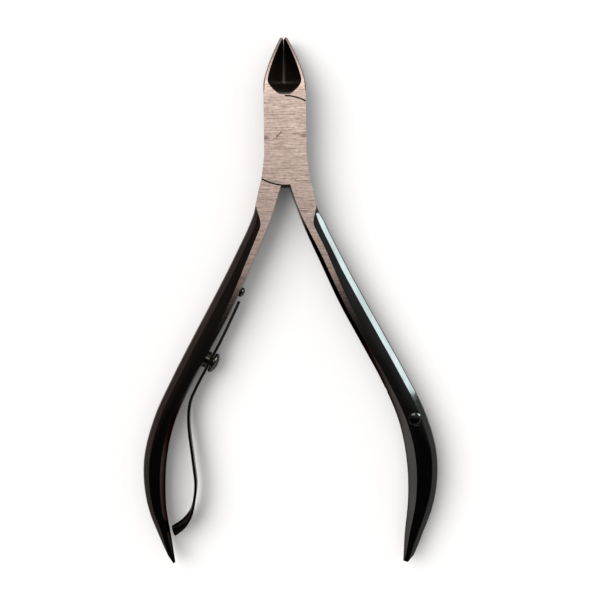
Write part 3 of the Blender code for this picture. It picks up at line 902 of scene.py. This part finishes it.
def ground_steel():
    """Flat-ground steel: fine lines across the tool, blotches, marks and painted dent shade, dark
    on the handles.
    """
    n = Nodes(bpy.data.materials.new("ground_steel"))
    place = n.coordinates()
    fine = n.noise(place, *FINE_LINES)
    broad = n.noise(place, *BROAD_LINES)
    blotch = n.noise(place, *BLOTCHES)
    streak = n.noise(place, *STREAKS)
    lines = n.math("ADD", n.math("MULTIPLY", fine, FINE_SHARE),
                   n.math("MULTIPLY", broad, BROAD_SHARE))
    lines = n.math("ADD", lines, n.math("MULTIPLY", blotch, BLOTCH_SHARE))
    tone = n.ramp(lines, *GROUND_TONES)
    dark = n.range(streak, STREAK_START, STREAK_FULL)
    tone = n.mix(n.math("MULTIPLY", dark, STREAK_DEPTH), tone, STREAK_TONE)
    tone = n.mix(n.head_marks_and_dent_shade(place), tone, MARK_AND_DENT_SHADE_TONE)
    y = n.axis(place, "Y")
    fade = n.range(y, HANDLE_FADE_START * MM, HANDLE_FADE_END * MM)
    tone = n.mix(fade, tone, HANDLE_TONE)
    rim = n.range(y, RIM_FADE_START * MM, RIM_FADE_END * MM, 0.0, RIM_FADE)
    n.set("Base Color", n.mix(rim, tone, RIM_TONE))
    n.set("Metallic", 1.0)
    rough = n.math("ADD", n.math("MULTIPLY", fine, LINE_ROUGHNESS), GROUND_ROUGHNESS)
    share = n.range(fade, 0.0, 1.0, 1.0, HANDLE_ROUGHNESS)
    n.set("Roughness", n.math("MULTIPLY", rough, share))
    n.bump(lines, LINE_BUMP, LINE_RELIEF)
    return n.owner


def polished_steel(name, tint, edge_wear_and_sheen_tone, haze=0.0):
    """Dark polished steel with faint wipe marks, a little wear along its edges with a painted edge
    highlight, and painted shade on its upright faces.
    """
    n = Nodes(bpy.data.materials.new(name))
    place = n.coordinates()
    cloud = n.noise(place, *CLOUDS)
    marks = n.noise(place, *WIPE_MARKS)
    brighter = tuple(c * CLOUD_GAIN for c in tint)
    tone = n.mix(n.range(cloud, CLOUD_START, CLOUD_FULL), tint, brighter)
    # Lighten the edges: partly wear, partly a painted edge highlight
    geometry = n.new("NewGeometry")
    turn = n.new("VectorMath", operation="DOT_PRODUCT")
    n.link(n.bevel(WEAR_AND_SHEEN_RADIUS), turn.inputs[0])
    n.link(geometry.outputs["Normal"], turn.inputs[1])
    wear_and_edge_sheen = n.range(turn.outputs["Value"], WEAR_AND_SHEEN_START, WEAR_AND_SHEEN_FULL)
    wear_and_edge_sheen = n.math("MULTIPLY", wear_and_edge_sheen, n.range(marks, *WEAR_AND_SHEEN_MARKS, *WEAR_AND_SHEEN_RANGE))
    tone = n.mix(wear_and_edge_sheen, tone, edge_wear_and_sheen_tone)
    n.set("Base Color", tone)
    n.set("Metallic", 1.0)
    # Upright faces get a low specular tint: painted shade that dims their reflection
    rise = n.math("ABSOLUTE", n.axis(geometry.outputs["Normal"], "Z"))
    level = n.range(rise, 0.0, LEVEL_FROM)
    n.set("Specular Tint", n.mix(level, UPRIGHT_PAINTED_SHADE_TINT, LEVEL_TINT))
    n.set("Roughness", n.range(marks, *ROUGH_MARKS, haze + SMOOTHEST, haze + HAZIEST))
    n.bump(marks, MARK_BUMP, MARK_RELIEF, EDGE_RADIUS)
    return n.owner


def bore(piece, radius, depth, matrix):
    """Drill a blind hole into a piece, down the local Z axis of a matrix on its surface."""
    hole = cylinder_profile(radius + RUNNING_CLEARANCE, -depth, CUT_OVERRUN)
    cut(piece, polished_faces(turned_mesh("hole", hole)), matrix)


def cut_lap(piece, room_matrix):
    """Make room for the other half's lap plate, and bore the plate for the pivot rivet."""
    cut(piece, lap_room_mesh(), room_matrix)
    profile = pivot_profile(RUNNING_CLEARANCE, CUT_OVERRUN)
    cut(piece, polished_faces(turned_mesh("bore", profile)), Matrix())


def attach(piece, body, node):
    """Put a finished piece on its body, in the place of its CAD node."""
    crease(piece.data)
    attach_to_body(piece, body)
    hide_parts(node)


def handle_rivet_place():
    return Matrix.Translation((HANDLE_RIVET_XY[0] * MM, HANDLE_RIVET_XY[1] * MM, 0.0))


def make_front_half(ground, polish, hollow):
    piece = add_piece("front_half_forging", half_mesh(True), ground, polish, hollow)
    cut_lap(piece, Matrix())
    shank = HANDLE_RIVET_SHANK_RADIUS + RUNNING_CLEARANCE
    head = HANDLE_RIVET_HEAD_RADIUS + RUNNING_CLEARANCE
    bottom = HANDLE_RIVET_END - END_CLEARANCE
    top = THICKNESS + CUT_OVERRUN
    profile = [(0.0, bottom), (shank, bottom), (shank, HANDLE_RIVET_SEAT),
               (head, HANDLE_RIVET_SEAT), (head, top), (0.0, top)]
    cut(piece, polished_faces(turned_mesh("seat", profile)), handle_rivet_place())
    hole = cylinder_profile(WALL_HOLE_RADIUS, -WALL_HOLE_DEPTH, CUT_OVERRUN)
    cut(piece, polished_faces(turned_mesh("hole", hole)), wall_frame(WALL_HOLE_Y, 1.0))
    attach(piece, "front_body", "front_half")


def make_back_half(ground, polish, hollow):
    mesh = half_mesh(False)
    mesh.transform(turned_over())
    piece = add_piece("back_half_forging", mesh, ground, polish, hollow)
    cut_lap(piece, turned_over())
    bore(piece, RIVET_SHANK_RADIUS, RIVET_DEPTH + END_CLEARANCE, wall_frame(SPRING_RIVET_Y, -1.0))
    bore(piece, PIN_SHANK_RADIUS, PIN_DEPTH + END_CLEARANCE, pin_frame())
    attach(piece, "back_body", "back_half")


def pin_frame():
    """Matrix on the left handle's inner wall at the stop pin, up the handle from the rivet."""
    goal = wall_frame(SPRING_RIVET_Y, -1.0) @ Vector((-PIN_DISTANCE * MM, 0.0, 0.0))
    return wall_frame(goal.y / MM, -1.0)


def add_turned(name, profile, matrix, material, body, node):
    mesh = turned_mesh(name, profile)
    mesh.transform(matrix)
    attach(add_piece(name, mesh, material), body, node)


def make_spring(polish):
    mesh = spring_mesh()
    mesh.transform(wall_frame(SPRING_RIVET_Y, -1.0))
    attach(add_piece("spring_leaf", mesh, polish), "spring_body", "leaf_spring")


def make_spring_fixings(polish):
    """The spring's rivet and collar, and the pin that stops its tail."""
    wall = wall_frame(SPRING_RIVET_Y, -1.0)
    over_strip = RIVET_SEAT_HEIGHT + SPRING_THICKNESS / 2.0 + SEAT_GAP
    under_strip = RIVET_SEAT_HEIGHT - SPRING_THICKNESS / 2.0 - SEAT_GAP
    profile = rivet_profile(RIVET_SHANK_RADIUS, -RIVET_DEPTH, over_strip, RIVET_HEAD_RADIUS,
                            RIVET_HEAD_HEIGHT)
    add_turned("spring_rivet_round_head", profile, wall, polish, "back_body", "spring_rivet")

    inside = RIVET_SHANK_RADIUS + RUNNING_CLEARANCE
    low = SEAT_GAP - wall_relief(SPRING_RIVET_Y)
    profile = [(inside, low), (COLLAR_RADIUS, low), (COLLAR_RADIUS, under_strip),
               (inside, under_strip), (inside, low)]
    add_turned("spring_collar_ring", profile, wall, polish, "back_body", "spring_collar")

    pin = pin_frame()
    seat = SEAT_GAP - wall_relief(pin.translation.y / MM)
    profile = rivet_profile(PIN_SHANK_RADIUS, -PIN_DEPTH, seat, PIN_HEAD_RADIUS, PIN_HEAD_HEIGHT)
    add_turned("stop_pin_dome", profile, pin, polish, "back_body", "spring_stop_pin")


def make_handle_rivet(polish):
    """Domed rivet sunk in the right handle's front, its head straight-sided up to the face."""
    seat = HANDLE_RIVET_SEAT + SEAT_GAP
    profile = [(0.0, HANDLE_RIVET_END), (HANDLE_RIVET_SHANK_RADIUS, HANDLE_RIVET_END),
               (HANDLE_RIVET_SHANK_RADIUS, seat), (HANDLE_RIVET_HEAD_RADIUS, seat)]
    profile += dome(HANDLE_RIVET_HEAD_RADIUS, seat + HANDLE_RIVET_SIDE,
                    HANDLE_RIVET_HEAD_HEIGHT - HANDLE_RIVET_SIDE)[2:]
    add_turned("handle_rivet_dome", profile, handle_rivet_place(), polish, "front_body",
               "handle_rivet")


def make_pivot(ground):
    profile = pivot_profile(RUNNING_CLEARANCE - HAIRLINE, 0.0)
    add_turned("pivot_rivet_flush", profile, Matrix(), ground, "back_body", "pivot_rivet")


CAMERA_DISTANCE = 0.225
CAMERA_OFFSET = 0.008
CAMERA_ROLL = math.radians(0.7)
VIEW_CENTRE = Vector((0.0026, -0.032, 0.0055))
VIEW_WIDTH = 0.12


def add_camera():
    """Camera looking down from above, a little to the tool's left."""
    data = bpy.data.cameras.new("camera")
    data.angle = 2.0 * math.atan(VIEW_WIDTH / 2.0 / CAMERA_DISTANCE)
    data.clip_start = 0.01
    camera = bpy.data.objects.new("camera", data)
    bpy.context.scene.collection.objects.link(camera)
    up = Vector((math.sin(CAMERA_ROLL), math.cos(CAMERA_ROLL), 0.0))
    right = up.cross(Vector((0.0, 0.0, 1.0)))
    offset = Vector((0.0, 0.0, CAMERA_DISTANCE)) - right * CAMERA_OFFSET
    away = offset.normalized()
    right = up.cross(away)
    matrix = Matrix((right, up, away)).transposed().to_4x4()
    matrix.translation = VIEW_CENTRE + offset
    camera.matrix_world = matrix
    bpy.context.scene.camera = camera


def aim_light(data, place, color):
    """Hang a light at a place, pointed at the tool."""
    data.color = color
    light = bpy.data.objects.new(data.name, data)
    bpy.context.scene.collection.objects.link(light)
    light.location = place
    light.rotation_euler = (VIEW_CENTRE - Vector(place)).to_track_quat("-Z", "Y").to_euler()
    return light


def add_light(name, place, width, height, radiance, color):
    """Rectangular light of the given size, aimed at the tool."""
    data = bpy.data.lights.new(name, "AREA")
    data.shape = "RECTANGLE"
    data.size = width
    data.size_y = height
    data.energy = radiance * math.pi * width * height
    return aim_light(data, place, color)


def add_sun(name, place, angle, strength, color):
    """Even light from the direction of a place, as wide in the sky as an angle in degrees."""
    data = bpy.data.lights.new(name, "SUN")
    data.angle = math.radians(angle)
    data.energy = strength
    return aim_light(data, place, color)


def light_only(light, receivers):
    """Let a light fall on the given objects and on nothing else."""
    chosen = bpy.data.collections.new("lit_by_" + light.name)
    for receiver in receivers:
        chosen.objects.link(receiver)
    light.light_linking.receiver_collection = chosen


# Light from the surroundings. Edges are coordinates of the unit vector towards a place.
CEILING_EDGE = 0.45
CEILING_FULL = 0.78
WALL_LIGHT = 0.55
WARM_WALL = (1.0, 0.87, 0.81)
PALE_WALL = (1.0, 0.99, 0.98)
WARM_EDGE_X = -0.4
PALE_EDGE_X = 0.4
CEILING_LIGHT = 0.03
CEILING_GLOW = 0.30
GLOW_START_Y = -0.13
GLOW_FULL_Y = 0.08
GLOW_LEFT_SHARE = 0.4
GLOW_LEFT_X = -0.10
GLOW_RIGHT_X = 0.12
BACKDROP_LIGHT = 1.3


def make_world():
    """Pale walls, warmer on the left, round a dark ceiling that glows a little on the right."""
    world = bpy.data.worlds.new("room")
    n = Nodes(world)
    direction = n.new("TexCoord").outputs["Generated"]
    glow = n.range(n.axis(direction, "Y"), GLOW_START_Y, GLOW_FULL_Y, 0.0, CEILING_GLOW)
    right = n.range(n.axis(direction, "X"), GLOW_LEFT_X, GLOW_RIGHT_X, GLOW_LEFT_SHARE, 1.0)
    glow = n.math("MULTIPLY", glow, right)
    ceiling = n.math("ADD", glow, CEILING_LIGHT)
    height = n.range(n.axis(direction, "Z"), CEILING_EDGE, CEILING_FULL)
    walls = n.math("MULTIPLY", n.math("SUBTRACT", 1.0, height), WALL_LIGHT)
    room = n.math("ADD", walls, n.math("MULTIPLY", height, ceiling))
    seen = n.new("LightPath").outputs["Is Camera Ray"]
    n.set("Strength", n.math("MAXIMUM", room, n.math("MULTIPLY", seen, BACKDROP_LIGHT)))
    side = n.range(n.axis(direction, "X"), WARM_EDGE_X, PALE_EDGE_X)
    n.set("Color", n.mix(side, WARM_WALL, PALE_WALL))
    return world


FLOOR_REACH = 2.0
FLOOR_CELLS = 8
FLOOR_GAP = 0.05
FLOOR_COLOR = (0.9, 0.9, 0.9)


def add_floor():
    bm = bmesh.new()
    bmesh.ops.create_grid(bm, x_segments=FLOOR_CELLS, y_segments=FLOOR_CELLS, size=FLOOR_REACH)
    mesh = bpy.data.meshes.new("floor")
    bm.to_mesh(mesh)
    bm.free()
    n = Nodes(bpy.data.materials.new("pale_floor"))
    n.set("Base Color", FLOOR_COLOR)
    n.set("Roughness", 0.9)
    n.set("Specular IOR Level", 0.1)
    floor = add_piece("floor", mesh, n.owner)
    floor.location = (0.0, 0.0, -FLOOR_GAP * MM)
    floor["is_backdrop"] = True
    return floor


def add_stage():
    """Pale floor and room, suns that light the floor, and lamps that show in the steel."""
    floor = add_floor()
    bpy.context.scene.world = make_world()
    window = add_sun("window", place=(-0.42, 0.14, 0.60), angle=52.0, strength=2.55,
                     color=(1.0, 0.99, 0.98))
    overhead = add_sun("overhead", place=(0.0, -0.03, 0.90), angle=82.0, strength=0.80,
                       color=(1.0, 1.0, 1.0))
    strip = add_light("strip", place=(0.235, 0.082, 0.11), width=0.12, height=0.22,
                      radiance=14.0, color=(0.84, 0.98, 1.0))
    lamp = add_light("lamp", place=(0.0, 0.28, 0.60), width=0.30, height=0.30,
                     radiance=3.5, color=(1.0, 0.97, 0.95))
    for light in (window, overhead):
        light_only(light, [floor])
    for light in (strip, lamp):
        light_only(light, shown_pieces())
    bpy.context.scene.view_settings.view_transform = "Standard"


def build():
    ground = ground_steel()
    # Front half and handle rivet get the cool copy, back half and spring fixings the warm one: a
    # painted reflection tint
    cool_reflection_polish = polished_steel("polished_steel_cool_reflection_tint", COOL_REFLECTION_TINT_STEEL, COOL_EDGE_WEAR_AND_SHEEN)
    warm_reflection_polish = polished_steel("polished_steel_warm_reflection_tint", WARM_REFLECTION_TINT_STEEL, WARM_EDGE_WEAR_AND_SHEEN)
    spring_polish = polished_steel("spring_steel", SPRING_STEEL, SPRING_EDGE_WEAR_AND_SHEEN)
    hollow = polished_steel("hollow_steel", HOLLOW_STEEL, HOLLOW_EDGE_WEAR_AND_SHEEN, HOLLOW_HAZE)
    make_front_half(ground, cool_reflection_polish, hollow)
    make_back_half(ground, warm_reflection_polish, hollow)
    make_spring(spring_polish)
    make_spring_fixings(warm_reflection_polish)
    make_handle_rivet(cool_reflection_polish)
    make_pivot(ground)
    add_stage()
    add_camera()


build()
bpy.context.view_layer.update()
